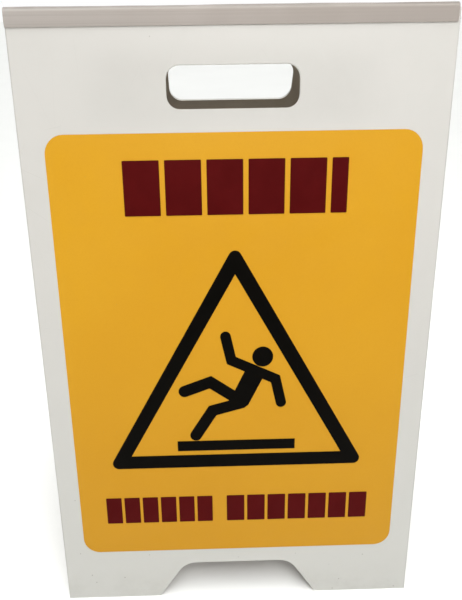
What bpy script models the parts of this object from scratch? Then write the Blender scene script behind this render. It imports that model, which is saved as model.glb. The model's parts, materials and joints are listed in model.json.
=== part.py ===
"""Folding A-frame floor sign.

Two plain white plastic sheets stand as an upturned V and are joined along the ridge by one hinge strip.
Each sheet has a handle slot, a leg notch and a yellow label with a black slipping-figure pictogram, and a
plain red bar in the place of each printed word.

Frame: metres, +Z up, origin on the floor under the middle of the ridge, the front sheet faces -Y.
Each half hangs from an empty on its fold line. In a half's own frame X runs along the ridge, Y runs up
the sheet and Z points away from the sheet's outer side, with the fold line as the origin.
"""
import math

import bmesh
import bpy
from mathutils import Matrix, Vector

# ---- Driving dimensions -----------------------------------------------------------------------------------
SHEET_WIDTH = 0.400
SHEET_THICKNESS = 0.003
SHEET_CORNER = 0.0015
LEAN = math.radians(19.0)            # each sheet's angle from the vertical when standing

FOLD_HALF_GAP = 0.0046               # fold line from the mid-plane
FOLD_TO_FOOT = 0.6162                # down the outer face, from the level of the fold line to the floor
SHEET_ABOVE_FOLD = 0.0005
SHEET_INSET = 0.0011                 # the sheet's outer face lies this far inside the fold line
FOLD_HEIGHT = FOLD_TO_FOOT * math.cos(LEAN) + SHEET_INSET * math.sin(LEAN)

SLOT_WIDTH = 0.1216
SLOT_HEIGHT = 0.037
SLOT_CORNER = 0.012
SLOT_TOP = 0.0424                    # down the sheet from the fold line, like every depth below
SLOT_SHIFT = -0.001                  # both slots lie a little left of the front sheet's middle

NOTCH_TOP = 0.5708
NOTCH_HALF_TOP = 0.0608
NOTCH_HALF_FOOT = 0.0920
NOTCH_CORNER = 0.024
TRIM_SPARE = 0.008                   # sheet left below the floor before the feet are trimmed level

STRIP_THICKNESS = 0.0010
STRIP_LENGTH = 0.398
STRIP_SHIFT = -0.001                 # the strip starts flush with the left side of the front sheet
LEAF_DEPTH = 0.0116
FOLD_CLEARANCE = 0.0002
TAPE_THICKNESS = 0.0004
TAPE_INSET = 0.0006                  # from the leaf's edges
LAYER_GAP = 0.0001

LABEL_WIDTH = 0.353
LABEL_TOP = 0.0995
LABEL_FOOT = 0.5526
LABEL_CORNER = 0.018
LABEL_THICKNESS = 0.00025
VINYL_THICKNESS = 0.00015

TRIANGLE_SIDE = 0.2293               # of the yellow triangle inside the black band
TRIANGLE_BASE = 0.4303
TRIANGLE_BAND = 0.0150
TRIANGLE_CORNER = 0.0066
PICTOGRAM_SHIFT = -0.0005            # of the triangle and the bar from the label's middle

BAR_WIDTH = 0.1278
BAR_TOP = 0.4134
BAR_HEIGHT = 0.0118

HEADLINE_ENDS = (-0.1059, 0.1075)    # across the sheet from its middle, like the caption's
HEADLINE_TOP = 0.1232
HEADLINE_HEIGHT = 0.0507
CAPTION_ENDS = {"left": (-0.1472, -0.0278), "right": (-0.0118, 0.1465)}
CAPTION_TOP = 0.4820
CAPTION_HEIGHT = 0.0325

# The figure: joints across the sheet and up it from the fold line
HEAD_CENTRE = (0.0276, -0.3185)
HEAD_RADIUS = 0.0109
ARM_WIDTH = 0.0110
LEG_WIDTH = 0.0126
BEND_CORNER = 0.0016                 # at the elbow, the shoulder and the knees
HAND_HIGH = (-0.0109, -0.2961)
ELBOW = (-0.0051, -0.3220)
SHOULDER = (0.0412, -0.3434)
HAND_LOW = (0.0474, -0.3702)
HIP_HIGH = (0.0006, -0.3648)
KNEE_HIGH = (-0.0274, -0.3456)
FOOT_HIGH = (-0.0549, -0.3554)
HIP_LOW = (0.0055, -0.3698)
KNEE_LOW = (-0.0256, -0.3781)
FOOT_LOW = (-0.0441, -0.4066)
TORSO = [(-0.0083, -0.3690), (0.0113, -0.3747), (0.0284, -0.3410), (0.0099, -0.3320)]
TORSO_CORNERS = [0.002, 0.0042, 0.001, 0.001]

CORNER_STEPS = 8
SPINE_STEPS = 18
GROUND_SIZE = 0.6                    # of the block under the floor that trims the feet


# ---- Scene helpers ----------------------------------------------------------------------------------------
def clear_scene():
    for obj in list(bpy.data.objects):
        bpy.data.objects.remove(obj, do_unlink=True)


def new_collection(name):
    collection = bpy.data.collections.new(name)
    bpy.context.scene.collection.children.link(collection)
    return collection


def new_material(name, colour, roughness):
    material = bpy.data.materials.new(name)
    material.use_nodes = True
    shader = material.node_tree.nodes["Principled BSDF"]
    shader.inputs["Base Color"].default_value = (*colour, 1.0)
    shader.inputs["Roughness"].default_value = roughness
    shader.inputs["Metallic"].default_value = 0.0
    return material


def new_empty(name, location, spin, collection):
    empty = bpy.data.objects.new(name, None)
    empty.empty_display_size = 0.03
    empty.location = location
    empty.rotation_euler = (0.0, 0.0, spin)
    collection.objects.link(empty)
    return empty


# ---- Outlines ---------------------------------------------------------------------------------------------
def arc(centre, radius, start, sweep, steps):
    return [
        (
            centre[0] + radius * math.cos(start + sweep * k / steps),
            centre[1] + radius * math.sin(start + sweep * k / steps),
        )
        for k in range(steps + 1)
    ]


def round_corners(corners, radii):
    """The polygon with a tangent arc of the given radius at each corner."""
    points = []
    count = len(corners)
    for i, radius in enumerate(radii):
        here = Vector(corners[i])
        if radius <= 0.0:
            points.append(tuple(here))
            continue
        before = (Vector(corners[i - 1]) - here).normalized()
        after = (Vector(corners[(i + 1) % count]) - here).normalized()
        half = before.angle(after) / 2.0
        centre = here + (before + after).normalized() * radius / math.sin(half)
        reach = radius / math.tan(half)
        first = here + before * reach - centre
        last = here + after * reach - centre
        start = math.atan2(first.y, first.x)
        sweep = math.remainder(math.atan2(last.y, last.x) - start, 2.0 * math.pi)
        points += arc(centre, radius, start, sweep, CORNER_STEPS)
    return points


def rectangle(width, low, high, shift=0.0):
    left = shift - width / 2.0
    return [(left, low), (left + width, low), (left + width, high), (left, high)]


def triangle(side, base, shift=0.0):
    peak = base + side * math.sqrt(3.0) / 2.0
    return [(shift - side / 2.0, base), (shift + side / 2.0, base), (shift, peak)]


def stroke(line, width):
    """A band of constant width along a bent line, with round ends and slightly rounded bends."""
    line = [Vector(point) for point in line]
    half = width / 2.0
    ways = [(after - before).normalized() for before, after in zip(line, line[1:])]
    sides = [Vector((-way.y, way.x)) for way in ways]
    bends = [(before + after) / (1.0 + before.dot(after)) for before, after in zip(sides, sides[1:])]
    path = [line[0] - ways[0] * half] + line[1:-1] + [line[-1] + ways[-1] * half]
    offsets = [sides[0]] + bends + [sides[-1]]
    left = [point + offset * half for point, offset in zip(path, offsets)]
    right = [point - offset * half for point, offset in zip(path, offsets)]
    radii = [half] + [BEND_CORNER] * len(bends) + [half]
    return round_corners(left + right[::-1], radii + radii)


def circle(centre, radius):
    return arc(centre, radius, 0.0, 2.0 * math.pi, 4 * CORNER_STEPS)[:-1]


# ---- Solids -----------------------------------------------------------------------------------------------
def plate(name, outlines, thickness, collection, material=None):
    """A flat sheet from closed outlines in its own XY plane, centred on that plane; inner ones are holes."""
    curve = bpy.data.curves.new(name, "CURVE")
    curve.dimensions = "2D"
    curve.fill_mode = "BOTH"
    curve.extrude = thickness / 2.0
    for outline in outlines:
        spline = curve.splines.new("POLY")
        spline.points.add(len(outline) - 1)
        for point, (x, y) in zip(spline.points, outline):
            point.co = (x, y, 0.0, 1.0)
        spline.use_cyclic_u = True
    drawn = bpy.data.objects.new(name + "_drawn", curve)
    bpy.context.scene.collection.objects.link(drawn)
    graph = bpy.context.evaluated_depsgraph_get()
    mesh = bpy.data.meshes.new_from_object(drawn.evaluated_get(graph))
    bpy.data.objects.remove(drawn, do_unlink=True)
    mesh.name = name
    solid = bmesh.new()
    solid.from_mesh(mesh)
    bmesh.ops.remove_doubles(solid, verts=solid.verts, dist=0.000005)
    bmesh.ops.recalc_face_normals(solid, faces=solid.faces)
    solid.to_mesh(mesh)
    solid.free()
    mesh.materials.clear()
    if material is not None:
        mesh.materials.append(material)
    obj = bpy.data.objects.new(name, mesh)
    collection.objects.link(obj)
    return obj


def lay_on(obj, parent, outside):
    """Lean the plate with its sheet; outside is its middle plane's distance out from the fold line."""
    obj.parent = parent
    obj.rotation_euler = (math.radians(90.0) - LEAN, 0.0, 0.0)
    obj.location = (0.0, -outside * math.cos(LEAN), outside * math.sin(LEAN))


def as_cutter(obj):
    obj.hide_render = True
    obj.display_type = "WIRE"


def add_boolean(obj, operand, operation):
    modifier = obj.modifiers.new(operation.lower() + "_" + operand.name, "BOOLEAN")
    modifier.operation = operation
    modifier.solver = "EXACT"
    modifier.object = operand


# ---- One half of the sign ---------------------------------------------------------------------------------
def build_sheet(side, parent, parts, cutters, slot_shift, material):
    foot = -FOLD_TO_FOOT - TRIM_SPARE
    slope = (NOTCH_HALF_FOOT - NOTCH_HALF_TOP) / (FOLD_TO_FOOT - NOTCH_TOP)
    notch_foot = NOTCH_HALF_FOOT + slope * TRIM_SPARE
    half = SHEET_WIDTH / 2.0
    corners = [
        (-half, foot),
        (-notch_foot, foot),
        (-NOTCH_HALF_TOP, -NOTCH_TOP),
        (NOTCH_HALF_TOP, -NOTCH_TOP),
        (notch_foot, foot),
        (half, foot),
        (half, SHEET_ABOVE_FOLD),
        (-half, SHEET_ABOVE_FOLD),
    ]
    radii = [0.0, 0.0, NOTCH_CORNER, NOTCH_CORNER, 0.0, 0.0, SHEET_CORNER, SHEET_CORNER]
    slot = rectangle(SLOT_WIDTH, -SLOT_TOP - SLOT_HEIGHT, -SLOT_TOP, slot_shift)
    outlines = [round_corners(corners, radii), round_corners(slot, [SLOT_CORNER] * 4)]
    sheet = plate(side + "_panel", outlines, SHEET_THICKNESS, parts, material)
    lay_on(sheet, parent, -SHEET_INSET - SHEET_THICKNESS / 2.0)

    box = bmesh.new()
    middle = Matrix.Translation((0.0, 0.0, -GROUND_SIZE / 2.0))
    bmesh.ops.create_cube(box, size=GROUND_SIZE, matrix=middle)
    mesh = bpy.data.meshes.new(side + "_foot_trim")
    box.to_mesh(mesh)
    box.free()
    ground = bpy.data.objects.new(side + "_foot_trim", mesh)
    cutters.objects.link(ground)
    as_cutter(ground)
    add_boolean(sheet, ground, "DIFFERENCE")


def build_strip_leaf(side, parent, parts, shift, strip_material, tape_material):
    outline = rectangle(STRIP_LENGTH, -LEAF_DEPTH, -FOLD_CLEARANCE, shift)
    leaf = plate(side + "_hinge_leaf", [outline], STRIP_THICKNESS, parts, strip_material)
    lay_on(leaf, parent, 0.0)

    length = STRIP_LENGTH - 2.0 * TAPE_INSET
    outline = rectangle(length, -LEAF_DEPTH + TAPE_INSET, -FOLD_CLEARANCE - TAPE_INSET, shift)
    tape = plate(side + "_hinge_tape", [outline], TAPE_THICKNESS, parts, tape_material)
    lay_on(tape, parent, -SHEET_INSET + LAYER_GAP + TAPE_THICKNESS / 2.0)


def build_label(side, parent, parts, label_material, vinyl_material):
    outline = round_corners(rectangle(LABEL_WIDTH, -LABEL_FOOT, -LABEL_TOP), [LABEL_CORNER] * 4)
    label = plate(side + "_label", [outline], LABEL_THICKNESS, parts, label_material)
    lay_on(label, parent, -SHEET_INSET + LAYER_GAP + LABEL_THICKNESS / 2.0)
    surface = -SHEET_INSET + 2.0 * LAYER_GAP + LABEL_THICKNESS + VINYL_THICKNESS / 2.0

    inner = triangle(TRIANGLE_SIDE, -TRIANGLE_BASE, PICTOGRAM_SHIFT)
    outer_side = TRIANGLE_SIDE + 2.0 * TRIANGLE_BAND * math.sqrt(3.0)
    outer = triangle(outer_side, -TRIANGLE_BASE - TRIANGLE_BAND, PICTOGRAM_SHIFT)
    outlines = [round_corners(outer, [TRIANGLE_CORNER] * 3), inner]
    band = plate(side + "_warning_triangle", outlines, VINYL_THICKNESS, parts, vinyl_material)
    lay_on(band, parent, surface)

    outline = rectangle(BAR_WIDTH, -BAR_TOP - BAR_HEIGHT, -BAR_TOP, PICTOGRAM_SHIFT)
    bar = plate(side + "_floor_bar", [outline], VINYL_THICKNESS, parts, vinyl_material)
    lay_on(bar, parent, surface)

    head = circle(HEAD_CENTRE, HEAD_RADIUS)
    head = plate(side + "_figure_head", [head], VINYL_THICKNESS, parts, vinyl_material)
    lay_on(head, parent, surface)
    return surface


def build_words(side, parent, parts, surface, material):
    """A plain bar for each word, of the word's length and height."""
    bars = [("headline", HEADLINE_ENDS, HEADLINE_TOP, HEADLINE_HEIGHT)]
    bars += [("caption_" + where, ends, CAPTION_TOP, CAPTION_HEIGHT) for where, ends in CAPTION_ENDS.items()]
    for name, (left, right), top, height in bars:
        outline = rectangle(right - left, -top - height, -top, (left + right) / 2.0)
        bar = plate(side + "_" + name, [outline], VINYL_THICKNESS, parts, material)
        lay_on(bar, parent, surface)


def build_figure(side, parent, parts, cutters, surface, material):
    """The slipping figure's body: limbs of constant width with round ends, joined to the torso."""
    limbs = [
        ("arms", [HAND_HIGH, ELBOW, SHOULDER, HAND_LOW], ARM_WIDTH),
        ("raised_leg", [FOOT_HIGH, KNEE_HIGH, HIP_HIGH], LEG_WIDTH),
        ("standing_leg", [FOOT_LOW, KNEE_LOW, HIP_LOW], LEG_WIDTH),
    ]
    torso = round_corners(TORSO, TORSO_CORNERS)
    body = plate(side + "_slipping_figure", [torso], VINYL_THICKNESS, parts, material)
    lay_on(body, parent, surface)
    for name, line, width in limbs:
        limb = plate(side + "_" + name, [stroke(line, width)], VINYL_THICKNESS, cutters)
        lay_on(limb, parent, surface)
        as_cutter(limb)
        add_boolean(body, limb, "UNION")


# ---- The ridge --------------------------------------------------------------------------------------------
def build_spine(parts, material):
    """The part of the strip that arches over both sheets, tangent to the leaves when the sign stands."""
    reach = math.radians(90.0) - LEAN
    radius = FOLD_HALF_GAP / math.sin(reach)
    trim = FOLD_CLEARANCE / radius
    start = math.radians(90.0) + reach - trim
    sweep = -2.0 * (reach - trim)
    outer = arc((0.0, 0.0), radius + STRIP_THICKNESS / 2.0, start, sweep, SPINE_STEPS)
    inner = arc((0.0, 0.0), radius - STRIP_THICKNESS / 2.0, start + sweep, -sweep, SPINE_STEPS)
    spine = plate("hinge_spine", [outer + inner], STRIP_LENGTH, parts, material)
    spine.rotation_euler = (math.radians(90.0), 0.0, math.radians(90.0))
    spine.location = (STRIP_SHIFT, 0.0, FOLD_HEIGHT - radius * math.cos(reach))


def main():
    clear_scene()
    parts = new_collection("folding_floor_sign")
    cutters = new_collection("cutters")

    sheet_white = new_material("white_sheet", (0.80, 0.78, 0.74), 0.45)
    strip_grey = new_material("hinge_strip", (0.47, 0.42, 0.38), 0.35)
    tape_white = new_material("hinge_tape", (0.70, 0.69, 0.66), 0.60)
    label_yellow = new_material("yellow_label", (0.78, 0.37, 0.03), 0.40)
    vinyl_black = new_material("black_vinyl", (0.008, 0.007, 0.006), 0.40)
    print_red = new_material("red_print", (0.098, 0.006, 0.006), 0.40)

    for side, facing, spin in (("front", -1.0, 0.0), ("back", 1.0, math.pi)):
        fold = new_empty(side + "_fold", (0.0, facing * FOLD_HALF_GAP, FOLD_HEIGHT), spin, parts)
        build_sheet(side, fold, parts, cutters, -facing * SLOT_SHIFT, sheet_white)
        build_strip_leaf(side, fold, parts, -facing * STRIP_SHIFT, strip_grey, tape_white)
        surface = build_label(side, fold, parts, label_yellow, vinyl_black)
        build_figure(side, fold, parts, cutters, surface, vinyl_black)
        build_words(side, fold, parts, surface, print_red)
    build_spine(parts, strip_grey)


main()
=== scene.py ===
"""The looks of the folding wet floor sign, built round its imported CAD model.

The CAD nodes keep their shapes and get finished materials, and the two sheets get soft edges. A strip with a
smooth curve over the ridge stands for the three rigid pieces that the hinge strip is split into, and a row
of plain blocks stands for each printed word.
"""
import json
import math

import bmesh
import bpy
from mathutils import Matrix, Vector


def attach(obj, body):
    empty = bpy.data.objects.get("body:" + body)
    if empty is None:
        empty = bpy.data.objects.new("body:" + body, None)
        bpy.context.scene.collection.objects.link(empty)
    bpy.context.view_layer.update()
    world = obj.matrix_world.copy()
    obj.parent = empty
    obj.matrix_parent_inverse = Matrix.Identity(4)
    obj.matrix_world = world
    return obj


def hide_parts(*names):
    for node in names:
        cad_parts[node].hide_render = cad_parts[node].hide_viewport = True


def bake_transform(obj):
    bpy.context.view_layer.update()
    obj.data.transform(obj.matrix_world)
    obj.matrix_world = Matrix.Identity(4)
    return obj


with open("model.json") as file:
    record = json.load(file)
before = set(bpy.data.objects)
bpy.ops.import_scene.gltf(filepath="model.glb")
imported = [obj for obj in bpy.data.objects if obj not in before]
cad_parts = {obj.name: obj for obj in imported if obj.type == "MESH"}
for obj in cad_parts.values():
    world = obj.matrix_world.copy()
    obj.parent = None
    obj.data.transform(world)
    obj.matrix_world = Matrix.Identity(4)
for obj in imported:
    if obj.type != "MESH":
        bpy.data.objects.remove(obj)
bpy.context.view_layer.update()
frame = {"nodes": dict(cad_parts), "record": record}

MM = 0.001
SIDES = ("front", "back")


# ---- The frame's own dimensions ---------------------------------------------------------------------------
joints = {joint["name"]: joint for joint in frame["record"]["behaviour"]["joints"]}
LEAN = math.radians(joints["front_fold"]["range_deg"][1])   # each fold shuts by its sheet's own lean
FOLD_HALF_GAP = -joints["front_fold"]["pos_m"][1]
FOLD_HEIGHT = joints["front_fold"]["pos_m"][2]


def half_turn(side):
    """The turn about the vertical that takes the front half to this side's half."""
    return Matrix.Rotation(math.pi if side == "back" else 0.0, 4, "Z")


def sheet_matrix(side):
    """From a half's own frame to the world. X runs along the ridge, Y up the sheet and Z out of it."""
    place = Matrix.Translation((0.0, -FOLD_HALF_GAP, FOLD_HEIGHT))
    lean = Matrix.Rotation(math.radians(90.0) - LEAN, 4, "X")
    return half_turn(side) @ place @ lean


def extent(node, side):
    """The lowest and highest corners of a CAD node in its half's own frame."""
    to_sheet = sheet_matrix(side).inverted()
    points = [to_sheet @ vertex.co for vertex in frame["nodes"][node].data.vertices]
    low = Vector([min(point[axis] for point in points) for axis in range(3)])
    high = Vector([max(point[axis] for point in points) for axis in range(3)])
    return low, high


SHEET_LOW, SHEET_HIGH = extent("front_panel", "front")
SHEET_INNER = SHEET_LOW.z                # the sheet's two faces, measured out from the fold line
SHEET_OUTER = SHEET_HIGH.z
SHEET_HALF = SHEET_HIGH.x
openings = {opening["name"]: opening["box_m"] for opening in frame["record"]["physics"]["openings"]}
HANDLE_HEIGHT = sum(corner[2] for corner in openings["front_handle_slot"]) / 2.0


# ---- Shader building --------------------------------------------------------------------------------------
MIX_COLOURS_IN = (6, 7)                  # the places of the Mix node's colour sockets
MIX_COLOUR_OUT = 2


class Graph:
    """A material's node tree, with short calls for the few node types used here."""

    def __init__(self, name):
        self.material = bpy.data.materials.new(name)
        self.material.use_nodes = True
        self.tree = self.material.node_tree
        self.shader = self.tree.nodes["Principled BSDF"]
        self.place = self.tree.nodes.new("ShaderNodeTexCoord").outputs["Object"]

    def node(self, kind, inputs=None, **settings):
        made = self.tree.nodes.new(kind)
        for key, value in settings.items():
            setattr(made, key, value)
        for key, value in (inputs or {}).items():
            if isinstance(value, bpy.types.NodeSocket):
                self.tree.links.new(value, made.inputs[key])
            else:
                made.inputs[key].default_value = value
        return made

    def stretched(self, scale, turn=(0.0, 0.0, 0.0)):
        """The object's coordinates, turned and then scaled unevenly."""
        inputs = {"Vector": self.place, "Rotation": turn, "Scale": scale}
        return self.node("ShaderNodeMapping", inputs, vector_type="TEXTURE").outputs["Vector"]

    def noise(self, scale, detail=3.0, rough=0.55, warp=0.0, place=None):
        inputs = {"Vector": place or self.place, "Scale": scale, "Detail": detail, "Roughness": rough}
        inputs["Distortion"] = warp
        return self.node("ShaderNodeTexNoise", inputs).outputs["Fac"]

    def cells(self, scale, feature="F1", place=None):
        inputs = {"Vector": place or self.place, "Scale": scale, "Randomness": 1.0}
        return self.node("ShaderNodeTexVoronoi", inputs, feature=feature)

    def math(self, operation, first, second=0.0, clamp=False):
        inputs = {0: first, 1: second}
        return self.node("ShaderNodeMath", inputs, operation=operation, use_clamp=clamp).outputs[0]

    def fade(self, value, start, end, low=0.0, high=1.0):
        """low where value is at start, high where it is at end, smooth in between."""
        inputs = {"Value": value, "From Min": start, "From Max": end, "To Min": low, "To Max": high}
        return self.node("ShaderNodeMapRange", inputs, interpolation_type="SMOOTHSTEP").outputs["Result"]

    def blend(self, factor, first, second):
        """A mix of two colours; each is a socket or three numbers."""
        mix = self.node("ShaderNodeMix", {"Factor": factor}, data_type="RGBA")
        for index, value in zip(MIX_COLOURS_IN, (first, second)):
            if isinstance(value, bpy.types.NodeSocket):
                self.tree.links.new(value, mix.inputs[index])
            else:
                mix.inputs[index].default_value = (*value, 1.0)
        return mix.outputs[MIX_COLOUR_OUT]

    def axis(self, name):
        return self.node("ShaderNodeSeparateXYZ", {"Vector": self.place}).outputs[name]

    def from_middle(self, name):
        """How far a point lies from the sign's middle along an axis, either way."""
        return self.math("ABSOLUTE", self.axis(name))

    def above_fold_plane(self):
        """How far out of its sheet a point lies, from the fold line; the same sum serves both halves."""
        out = self.math("SUBTRACT", self.from_middle("Y"), FOLD_HALF_GAP)
        up = self.math("SUBTRACT", self.axis("Z"), FOLD_HEIGHT)
        out = self.math("MULTIPLY", out, math.cos(LEAN))
        return self.math("ADD", out, self.math("MULTIPLY", up, math.sin(LEAN)))

    def bump(self, height, distance, strength=1.0, below=None):
        inputs = {"Height": height, "Distance": distance, "Strength": strength}
        if below is not None:
            inputs["Normal"] = below
        return self.node("ShaderNodeBump", inputs).outputs["Normal"]

    def finish(self, colour, roughness, normal, specular=0.5):
        self.tree.links.new(colour, self.shader.inputs["Base Color"])
        self.tree.links.new(roughness, self.shader.inputs["Roughness"])
        self.tree.links.new(normal, self.shader.inputs["Normal"])
        self.shader.inputs["Specular IOR Level"].default_value = specular
        return self.material


FLECK_CORE = 0.55                        # the share of a fleck's radius that is at full strength
SCUFF_STRETCH = (0.25, 1.0, 1.0)         # squeezes the cells one way, so that their borders run long
SCUFF_MASK = (0.56, 0.66)                # the levels of noise between which scuffs begin to show


def specks(graph, scale, size, share):
    """Small flecks scattered at random: 1 inside a fleck. share is how many of the cells may hold one."""
    cells = graph.cells(scale)
    spot = graph.fade(cells.outputs["Distance"], size * scale, FLECK_CORE * size * scale)
    chosen = graph.node("ShaderNodeSeparateColor", {"Color": cells.outputs["Color"]}).outputs["Red"]
    chosen = graph.math("LESS_THAN", chosen, share)
    return graph.math("MULTIPLY", spot, chosen)


def scratches(graph, scale, width, turn, spread):
    """Hairline scuffs: the borders of long stretched cells, broken up by a mask of noise."""
    place = graph.stretched(SCUFF_STRETCH, turn)
    to_border = graph.cells(scale, "DISTANCE_TO_EDGE", place).outputs["Distance"]
    line = graph.fade(to_border, width * scale, 0.0)
    mask = graph.fade(graph.noise(spread, 2.0), *SCUFF_MASK)
    return graph.math("MULTIPLY", line, mask)


# ---- Materials --------------------------------------------------------------------------------------------
# Each pair is where a mark begins and where it is full. Some marks are wear or dirt; the darkening towards
# the floor, on the inner face, on the side edges, on the ridge and down the leaf is painted shade
SHEET_PAINTED_FALLOFF = (0.42, 0.03)                # heights above the floor; painted shade, darker towards the floor
# painted shade: the label darker towards the floor; heights above the floor
LABEL_PAINTED_FALLOFF = (0.36, 0.03)
FLOOR_GRIME = (45.0 * MM, 0.0)
SPLASHED = (0.12, 0.02)
# painted shade on the inner face, darkest up under the ridge; heights above the floor
INNER_PAINTED_SHADE = (0.28, 0.48)
SIDE_PAINTED_SHADE = (1.4 * MM, 0.5 * MM)        # in from the sheet's side edges; painted shade on the rounded side edges
SLOT_DARK_ACROSS = (160.0 * MM, 96.0 * MM)     # from the middle of the handle slot
SLOT_DARK_UP = (44.0 * MM, 13.2 * MM)
STRIP_AGED = (-0.24, 0.02)               # along the ridge
RIDGE_PAINTED_SHADE = (1.5 * MM, 2.8 * MM)       # above the fold line; painted shade along the ridge's top
# painted shade down the strip's leaf, above the fold line
STRIP_SHADED = (1.0 * MM, -9.0 * MM)


def white_sheet():
    """Satin rigid plastic: cloudy off-white, orange peel, hairline scuffs, grey flecks and floor grime.

    It is darker in patches round the handle slot. The cut edges are unevenly worn. The inner face is matte
    and dusty, painted darker for the shade between the sheets, and painted darker still under the ridge as
    painted shade.
    """
    g = Graph("sheet_plastic")
    cloud = g.fade(g.noise(5.0, 4.0, 0.6), 0.35, 0.65)
    colour = g.blend(cloud, (0.722, 0.706, 0.674), (0.742, 0.726, 0.695))
    mottle = g.fade(g.noise(34.0, 3.0, 0.6), 0.40, 0.70, 0.0, 0.35)
    colour = g.blend(mottle, colour, (0.715, 0.706, 0.672))
    lines = g.math("MAXIMUM", scratches(g, 9.0, 0.25 * MM, (0.2, 0.3, 0.5), 11.0),
                   scratches(g, 14.0, 0.20 * MM, (0.9, -0.4, -0.8), 8.0))
    colour = g.blend(g.math("MULTIPLY", lines, 0.22), colour, (0.42, 0.41, 0.38))
    # painted shade: the sheet darker and cooler towards the floor, standing in for the light's falloff
    painted_falloff = g.fade(g.axis("Z"), *SHEET_PAINTED_FALLOFF, 0.0, 0.45)
    colour = g.blend(painted_falloff, colour, (0.625, 0.640, 0.605))
    grime = g.fade(g.noise(26.0, 5.0, 0.7), 0.38, 0.75, 0.02, 0.35)
    grime = g.math("MULTIPLY", g.fade(g.axis("Z"), *FLOOR_GRIME), grime)
    colour = g.blend(grime, colour, (0.48, 0.47, 0.43))
    flecks = g.math("MAXIMUM", specks(g, 48.0, 0.9 * MM, 0.55), specks(g, 21.0, 1.3 * MM, 0.35))
    splashes = g.math("MULTIPLY", specks(g, 75.0, 1.0 * MM, 0.70), g.fade(g.axis("Z"), *SPLASHED))
    flecks = g.math("MAXIMUM", flecks, splashes)
    colour = g.blend(g.math("MULTIPLY", flecks, 0.60), colour, (0.30, 0.28, 0.25))
    # painted shade: a patchy dark line along the rounded side edges, where they turn away from the light
    edge_shade = g.fade(g.math("SUBTRACT", SHEET_HALF, g.from_middle("X")), *SIDE_PAINTED_SHADE, 0.0, 0.55)
    edge_shade = g.math("MULTIPLY", edge_shade, g.fade(g.noise(18.0, 4.0, 0.6), 0.30, 0.60, 0.3, 1.0))
    colour = g.blend(edge_shade, colour, (0.46, 0.44, 0.42))
    # darker in patches round the handle slot
    level = g.math("ABSOLUTE", g.math("SUBTRACT", g.axis("Z"), HANDLE_HEIGHT))
    round_slot_dark = g.math("MULTIPLY", g.fade(level, *SLOT_DARK_UP), g.fade(g.from_middle("X"), *SLOT_DARK_ACROSS))
    round_slot_dark = g.math("MULTIPLY", round_slot_dark, g.fade(g.noise(20.0, 4.0, 0.6), 0.30, 0.65, 0.12, 0.19))
    colour = g.blend(round_slot_dark, colour, (0.42, 0.41, 0.38))
    depth = g.above_fold_plane()
    rim = g.math("MULTIPLY", g.fade(depth, SHEET_OUTER - 0.2 * MM, SHEET_OUTER - 0.7 * MM),
                 g.fade(g.noise(900.0, 3.0, 0.7), 0.35, 0.70, 0.1, 0.6))
    colour = g.blend(rim, colour, (0.70, 0.685, 0.64))
    # the inner face: dust, and painted shade for the shade between the sheets, deepest under the ridge
    inner = g.fade(depth, SHEET_INNER + 0.35 * MM, SHEET_INNER + 0.05 * MM)
    dust = g.fade(g.noise(14.0, 5.0, 0.65), 0.35, 0.70)
    inner_dust_and_shade = g.blend(dust, (0.600, 0.580, 0.540), (0.660, 0.640, 0.600))
    inner_painted_shade = g.blend(dust, (0.350, 0.298, 0.236), (0.396, 0.342, 0.277))
    colour = g.blend(inner, colour, g.blend(g.fade(g.axis("Z"), *INNER_PAINTED_SHADE), inner_dust_and_shade, inner_painted_shade))
    roughness = g.fade(g.noise(60.0, 4.0), 0.3, 0.7, 0.40, 0.50)
    roughness = g.math("ADD", roughness, g.math("MULTIPLY", lines, 0.2))
    roughness = g.math("ADD", roughness, g.math("MULTIPLY", inner, 0.25), True)
    peel = g.bump(g.noise(240.0, 2.0), 0.05 * MM, 0.35)
    normal = g.bump(g.noise(2200.0, 1.0), 0.02 * MM, 0.25, peel)
    return g.finish(colour, roughness, normal, 0.40)


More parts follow.
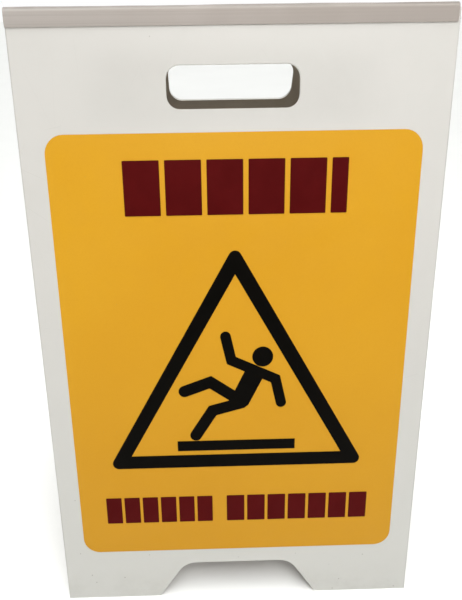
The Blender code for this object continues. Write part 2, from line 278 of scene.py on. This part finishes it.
def hinge_strip():
    """Satin extruded strip: warm grey with cloudy patches, fine lines along it and patchy painted shade on
    its ridge.

    It has browned towards one end, and painted shade makes it darker down the leaf.
    """
    g = Graph("strip_plastic")
    cloud = g.fade(g.noise(9.0, 3.0, 0.55, 0.6), 0.35, 0.68)
    colour = g.blend(cloud, (0.570, 0.525, 0.500), (0.590, 0.550, 0.527))
    tint = g.fade(g.noise(7.0, 2.0, 0.5, 0.4, g.stretched((1.0, 3.0, 3.0))), 0.42, 0.60)
    colour = g.blend(g.math("MULTIPLY", tint, 0.35), colour, (0.430, 0.395, 0.357))
    aged = g.fade(g.axis("X"), *STRIP_AGED, 0.0, 0.74)
    colour = g.blend(aged, colour, (0.400, 0.347, 0.312))
    height = g.math("SUBTRACT", g.axis("Z"), FOLD_HEIGHT)
    # painted shade: the leaf darker downwards, away from the ridge
    lower = g.fade(height, *STRIP_SHADED, 0.0, 0.30)
    colour = g.blend(lower, colour, (0.335, 0.298, 0.268))
    along = g.noise(1.0, 4.0, 0.6, place=g.stretched((0.5, 0.0016, 0.0016)))
    colour = g.blend(g.fade(along, 0.35, 0.75, 0.0, 0.40), colour, (0.350, 0.310, 0.278))
    # painted shade: a patchy dark band along the ridge's top, where it turns away from the light
    ridge_shade = g.fade(height, *RIDGE_PAINTED_SHADE, 0.0, 0.80)
    ridge_shade = g.math("MULTIPLY", ridge_shade, g.fade(g.noise(16.0, 4.0, 0.6), 0.30, 0.62, 0.55, 1.0))
    colour = g.blend(ridge_shade, colour, (0.240, 0.212, 0.190))
    flecks = specks(g, 110.0, 0.7 * MM, 0.15)
    colour = g.blend(g.math("MULTIPLY", flecks, 0.45), colour, (0.20, 0.18, 0.16))
    roughness = g.fade(g.noise(40.0, 3.0), 0.3, 0.7, 0.42, 0.54)
    lines = g.bump(along, 0.05 * MM, 0.5)
    normal = g.bump(g.noise(120.0, 2.0), 0.10 * MM, 0.3, lines)
    return g.finish(colour, roughness, normal, 0.40)


def hinge_tape():
    """Foam mounting tape, seen only at its edge: off-white with open pores."""
    g = Graph("foam_tape")
    pores = g.cells(1500.0).outputs["Distance"]
    colour = g.blend(g.fade(pores, 0.1, 0.7), (0.55, 0.54, 0.51), (0.72, 0.71, 0.68))
    roughness = g.fade(g.noise(300.0, 2.0), 0.3, 0.7, 0.70, 0.85)
    return g.finish(colour, roughness, g.bump(pores, 0.10 * MM, 0.6), 0.30)


def yellow_label():
    """Printed self-adhesive film: satin amber yellow, with uneven ink and dust, and painted shade darker
    near the floor.
    """
    g = Graph("label_film")
    cloud = g.fade(g.noise(4.0, 3.0, 0.55), 0.35, 0.65)
    colour = g.blend(cloud, (0.762, 0.374, 0.016), (0.790, 0.402, 0.019))
    ink = g.fade(g.noise(700.0, 2.0, 0.7), 0.35, 0.75, 0.0, 0.20)
    colour = g.blend(ink, colour, (0.700, 0.320, 0.010))
    # painted shade: the label deeper yellow towards the floor, standing in for the light's falloff
    painted_falloff = g.fade(g.axis("Z"), *LABEL_PAINTED_FALLOFF, 0.0, 0.55)
    colour = g.blend(painted_falloff, colour, (0.600, 0.278, 0.003))
    dust = specks(g, 90.0, 0.5 * MM, 0.5)
    colour = g.blend(g.math("MULTIPLY", dust, 0.35), colour, (0.50, 0.33, 0.10))
    roughness = g.fade(g.noise(50.0, 4.0), 0.3, 0.7, 0.42, 0.52)
    peel = g.bump(g.noise(420.0, 2.0), 0.03 * MM, 0.4)
    normal = g.bump(g.noise(12.0, 2.0), 0.5 * MM, 0.15, peel)
    return g.finish(colour, roughness, normal, 0.25)


def ink_film(name, deep, light, dust_colour):
    """A solid printed film: slightly uneven ink, hairlines and dust on a satin surface."""
    g = Graph(name)
    colour = g.blend(g.fade(g.noise(30.0, 4.0, 0.6), 0.3, 0.7), deep, light)
    dust = specks(g, 120.0, 0.4 * MM, 0.7)
    lines = scratches(g, 16.0, 0.15 * MM, (0.4, 0.2, 0.9), 12.0)
    marks = g.math("MAXIMUM", g.math("MULTIPLY", dust, 0.30), g.math("MULTIPLY", lines, 0.10))
    colour = g.blend(marks, colour, dust_colour)
    roughness = g.fade(g.noise(55.0, 4.0), 0.3, 0.7, 0.45, 0.58)
    return g.finish(colour, roughness, g.bump(g.noise(420.0, 2.0), 0.03 * MM, 0.4), 0.05)


def floor_material():
    """A plain pale studio floor with a barely uneven surface."""
    g = Graph("studio_floor")
    colour = g.blend(g.fade(g.noise(1.5, 4.0), 0.3, 0.7), (0.90, 0.90, 0.89), (0.92, 0.92, 0.91))
    roughness = g.fade(g.noise(8.0, 3.0), 0.3, 0.7, 0.60, 0.70)
    return g.finish(colour, roughness, g.bump(g.noise(90.0, 2.0), 0.2 * MM, 0.15), 0.25)


# ---- Mesh building ----------------------------------------------------------------------------------------
CORNER_STEPS = 4


def new_piece(name, mesh_builder, body, material, slot, *replaced):
    """An object from a bmesh in world coordinates, riding on a CAD body where one is named."""
    mesh = bpy.data.meshes.new(name)
    mesh_builder.to_mesh(mesh)
    mesh_builder.free()
    mesh.materials.append(material)
    piece = bpy.data.objects.new(name, mesh)
    bpy.context.scene.collection.objects.link(piece)
    if body:
        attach(piece, body)
    if replaced:
        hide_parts(*replaced)
    return piece


def rounded_rectangle(left, right, low, high, radius):
    centres = [(right - radius, high - radius, 0.0), (left + radius, high - radius, 90.0),
               (left + radius, low + radius, 180.0), (right - radius, low + radius, 270.0)]
    points = []
    for x, y, start in centres:
        for k in range(CORNER_STEPS + 1):
            angle = math.radians(start + 90.0 * k / CORNER_STEPS)
            points.append((x + radius * math.cos(angle), y + radius * math.sin(angle)))
    return points


def add_plate(shape, outline, low, high):
    """A flat plate from an outline, between two levels of the sheet's own Z."""
    base = [shape.verts.new((x, y, low)) for x, y in outline]
    top = [shape.verts.new((x, y, high)) for x, y in outline]
    shape.faces.new(reversed(base))
    shape.faces.new(top)
    count = len(outline)
    for k in range(count):
        after = (k + 1) % count
        shape.faces.new((base[k], base[after], top[after], top[k]))


# ---- The printed words ------------------------------------------------------------------------------------
BLOCK_CORNER = 0.8 * MM
WORDS = {                                # how many blocks, the last one's share of a full width, and the gap
    "headline": (6, 0.45, 5.0 * MM),
    "caption_left": (6, 1.0, 3.2 * MM),
    "caption_right": (7, 1.0, 3.2 * MM),
}


def build_words(side, material):
    """Plain blocks in place of letters, on the bar that the CAD model has for each word."""
    for word, (count, last, gap) in WORDS.items():
        node = side + "_" + word
        low, high = extent(node, side)
        width = (high.x - low.x - (count - 1) * gap) / (count - 1 + last)
        shape = bmesh.new()
        left = low.x
        for k in range(count):
            right = left + width * (last if k == count - 1 else 1.0)
            add_plate(shape, rounded_rectangle(left, right, low.y, high.y, BLOCK_CORNER), low.z, high.z)
            left = right + gap
        shape.transform(sheet_matrix(side))
        new_piece(node + "_blocks", shape, side, material, "red_print", node)


# ---- The hinge strip --------------------------------------------------------------------------------------
STRIP_STEP = 4.0 * MM                    # length of a facet along the ridge
ARC_STEPS = 14
LEAF_STEPS = 6
LIP_STEPS = 6
LIP_LENGTH = 4.0 * MM                    # the outer face thins towards the leaf's lower edge
LIP_THICKNESS = 0.30 * MM
RIDGE_WAVES = (                          # length, phase and height of each
    (0.231, 0.4, 0.14 * MM),
    (0.087, 1.9, 0.07 * MM),
    (0.041, 3.1, 0.03 * MM),
)


def ridge_wave(x):
    """How far the free part of the strip stands proud at x, from the way it was bent over the sheets."""
    full_turn = 2.0 * math.pi
    return sum(height * math.sin(full_turn * x / length + phase) for length, phase, height in RIDGE_WAVES)


def strip_section(depth, thickness):
    """The front half of the strip's cross-section, from the ridge down to the lip and back inside.

    The ridge is an arc that is tangent to both leaves. Each point is (place, normal, freedom), the first two
    as Y and Z. Freedom is how much of the ridge's waves the point follows, from 0 to 1.
    """
    reach = math.radians(90.0) - LEAN
    radius = FOLD_HALF_GAP / math.sin(reach)
    centre = Vector((0.0, FOLD_HEIGHT - radius * math.cos(reach)))
    half = thickness / 2.0
    down = Vector((-math.sin(LEAN), -math.cos(LEAN)))
    out = Vector((-math.cos(LEAN), math.sin(LEAN)))
    fold = Vector((-FOLD_HALF_GAP, FOLD_HEIGHT))
    outer, inner = [], []
    for k in range(ARC_STEPS + 1):
        angle = reach * k / ARC_STEPS
        ray = Vector((-math.sin(angle), math.cos(angle)))
        freedom = math.cos(0.5 * math.pi * k / ARC_STEPS) ** 2
        outer.append((centre + ray * (radius + half), ray, freedom))
        inner.append((centre + ray * (radius - half), -ray, freedom))
    straight = depth - LIP_LENGTH
    for k in range(1, LEAF_STEPS + 1):
        spot = fold + down * straight * k / LEAF_STEPS
        outer.append((spot + out * half, out, 0.0))
        inner.append((spot - out * half, -out, 0.0))
    lip = fold + down * (depth - LIP_THICKNESS / 2.0) - out * (half - LIP_THICKNESS / 2.0)
    for k in range(LIP_STEPS + 1):
        angle = math.pi * k / LIP_STEPS
        ray = out * math.cos(angle) + down * math.sin(angle)
        outer.append((lip + ray * LIP_THICKNESS / 2.0, ray, 0.0))
    return outer + list(reversed(inner))


def sweep_section(section, side, left, length):
    """The section carried along the ridge on the side's half, and the exact normals of its vertices."""
    turn = half_turn(side)
    rings = round(length / STRIP_STEP) + 1
    shape = bmesh.new()
    rows = []
    normals = []
    for i in range(rings):
        x = left + length * i / (rings - 1)
        proud = ridge_wave(-x if side == "back" else x)
        row = []
        for spot, normal, freedom in section:
            place = Vector((x, spot.x, spot.y + proud * freedom))
            row.append(shape.verts.new(turn @ place))
            normals.append(turn.to_3x3() @ Vector((0.0, normal.x, normal.y)))
        rows.append(row)
    count = len(section)
    for first, second in zip(rows, rows[1:]):
        for k in range(count):
            after = (k + 1) % count
            face = shape.faces.new((first[k], first[after], second[after], second[k]))
            face.smooth = k != count - 1             # the last one is the cut where the two halves meet
    shape.faces.new(reversed(rows[0]))
    shape.faces.new(rows[-1])
    bmesh.ops.recalc_face_normals(shape, faces=shape.faces)
    return shape, normals


def build_strip(side, material):
    """One half of the hinge strip. It lies along its sheet on the leaf and curves over the ridge."""
    leaf_low, leaf_high = extent(side + "_hinge_leaf", side)
    section = strip_section(-leaf_low.y, leaf_high.z - leaf_low.z)
    shape, normals = sweep_section(section, side, leaf_low.x, leaf_high.x - leaf_low.x)
    nodes = [side + "_hinge_leaf"] + (["hinge_spine"] if side == "front" else [])
    piece = new_piece(side + "_hinge_skin", shape, None, material, "hinge_strip", *nodes)
    keep_normals(piece.data, normals)
    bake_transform(piece)


def keep_normals(mesh, normals):
    """The strip's exact normals, so that its two halves shade as one where they meet at the ridge."""
    custom = []
    for polygon in mesh.polygons:
        for index in polygon.vertices:
            custom.append(normals[index] if polygon.use_smooth else polygon.normal)
    mesh.normals_split_custom_set(custom)


# ---- The CAD nodes' finish --------------------------------------------------------------------------------
SHEET_EDGE = 0.7 * MM
SHEET_EDGE_STEPS = 3
SHARP_ANGLE = math.radians(50.0)         # the outline's arcs turn by less than this at each step


def finish_nodes(side, materials):
    for part, material in materials.items():
        for slot in frame["nodes"][side + "_" + part].material_slots:
            slot.material = material


def soften_sheet(side):
    bevel = frame["nodes"][side + "_panel"].modifiers.new("soft_edges", "BEVEL")
    bevel.width = SHEET_EDGE
    bevel.segments = SHEET_EDGE_STEPS
    bevel.limit_method = "ANGLE"
    bevel.angle_limit = SHARP_ANGLE
    bevel.harden_normals = True


# ---- Studio -----------------------------------------------------------------------------------------------
CAMERA_PLACE = (-29.3 * MM, -496.5 * MM, 0.8 * MM)     # its height is above the fold line
CAMERA_PITCH = math.radians(33.54)
CAMERA_YAW = math.radians(0.966)
CAMERA_ROLL = math.radians(0.756)
CAMERA_LENS = 28.378
CAMERA_SENSOR = 36.0
CAMERA_SHIFT = (0.02857, 0.03678)
CAMERA_CLIP = (0.02, 200.0)
FLOOR_RADIUS = 40.0
FLOOR_SIDES = 96
KEY_SIZE = (0.9, 0.6)
SUN_SPREAD = math.radians(50.0)
AMBIENT = 0.03
BACKDROP = 1.0


def build_camera():
    """At the ridge's height, a little left of the middle, looking down at the front sheet."""
    data = bpy.data.cameras.new("camera")
    data.lens = CAMERA_LENS
    data.sensor_width = CAMERA_SENSOR
    data.sensor_fit = "AUTO"
    data.shift_x, data.shift_y = CAMERA_SHIFT
    data.clip_start, data.clip_end = CAMERA_CLIP
    camera = bpy.data.objects.new("camera", data)
    x, y, above = CAMERA_PLACE
    place = Matrix.Translation((x, y, FOLD_HEIGHT + above))
    yaw = Matrix.Rotation(-CAMERA_YAW, 4, "Z")
    pitch = Matrix.Rotation(math.radians(90.0) - CAMERA_PITCH, 4, "X")
    roll = Matrix.Rotation(-CAMERA_ROLL, 4, "Z")
    camera.matrix_world = place @ yaw @ pitch @ roll
    bpy.context.scene.collection.objects.link(camera)
    bpy.context.scene.camera = camera


def build_floor():
    shape = bmesh.new()
    bmesh.ops.create_circle(shape, cap_ends=True, segments=FLOOR_SIDES, radius=FLOOR_RADIUS)
    mesh = bpy.data.meshes.new("floor")
    shape.to_mesh(mesh)
    shape.free()
    mesh.materials.append(floor_material())
    floor = bpy.data.objects.new("floor", mesh)
    bpy.context.scene.collection.objects.link(floor)


def add_light(name, kind, place, target, energy, colour, **settings):
    data = bpy.data.lights.new(name, kind)
    data.energy = energy
    data.color = colour
    for key, value in settings.items():
        setattr(data, key, value)
    light = bpy.data.objects.new(name, data)
    light.location = place
    light.rotation_mode = "QUATERNION"
    light.rotation_quaternion = (Vector(target) - Vector(place)).to_track_quat("-Z", "Y")
    bpy.context.scene.collection.objects.link(light)


def build_lights():
    """One wide soft box above the front, and broad glows from overhead and behind."""
    middle = (0.0, 0.0, 0.0)
    add_light("key", "AREA", (0.16, -1.0, 1.6), (0.0, 0.0, 0.5), 10.8, (1.0, 0.965, 0.93),
              shape="RECTANGLE", size=KEY_SIZE[0], size_y=KEY_SIZE[1])
    add_light("overhead", "SUN", (0.0, 0.0, 3.0), middle, 2.6, (0.98, 1.0, 0.99), angle=SUN_SPREAD)
    add_light("rear", "SUN", (0.0, 1.4, 2.6), middle, 0.9, (1.0, 0.98, 0.96), angle=SUN_SPREAD)


def build_surround():
    """A white backdrop that lights the scene only faintly."""
    world = bpy.data.worlds.new("studio")
    bpy.context.scene.world = world
    world.use_nodes = True
    tree = world.node_tree
    surround = tree.nodes["Background"]
    surround.inputs["Color"].default_value = (0.97, 0.99, 1.0, 1.0)
    surround.inputs["Strength"].default_value = AMBIENT
    backdrop = tree.nodes.new("ShaderNodeBackground")
    backdrop.inputs["Color"].default_value = (1.0, 1.0, 1.0, 1.0)
    backdrop.inputs["Strength"].default_value = BACKDROP
    path = tree.nodes.new("ShaderNodeLightPath")
    mix = tree.nodes.new("ShaderNodeMixShader")
    tree.links.new(path.outputs["Is Camera Ray"], mix.inputs["Fac"])
    tree.links.new(surround.outputs[0], mix.inputs[1])
    tree.links.new(backdrop.outputs[0], mix.inputs[2])
    tree.links.new(mix.outputs[0], tree.nodes["World Output"].inputs["Surface"])


def main():
    bpy.context.scene.view_settings.view_transform = "Standard"
    build_camera()
    build_floor()
    build_lights()
    build_surround()
    strip = hinge_strip()
    black = ink_film("black_print", (0.0022, 0.0018, 0.0012), (0.0032, 0.0026, 0.0018), (0.06, 0.05, 0.04))
    red = ink_film("red_print", (0.086, 0.0030, 0.0034), (0.100, 0.0042, 0.0046), (0.18, 0.05, 0.04))
    materials = {
        "panel": white_sheet(),
        "hinge_tape": hinge_tape(),
        "label": yellow_label(),
        "warning_triangle": black,
        "slipping_figure": black,
        "figure_head": black,
        "floor_bar": black,
    }
    for side in SIDES:
        finish_nodes(side, materials)
        soften_sheet(side)
        build_words(side, red)
        build_strip(side, strip)


main()
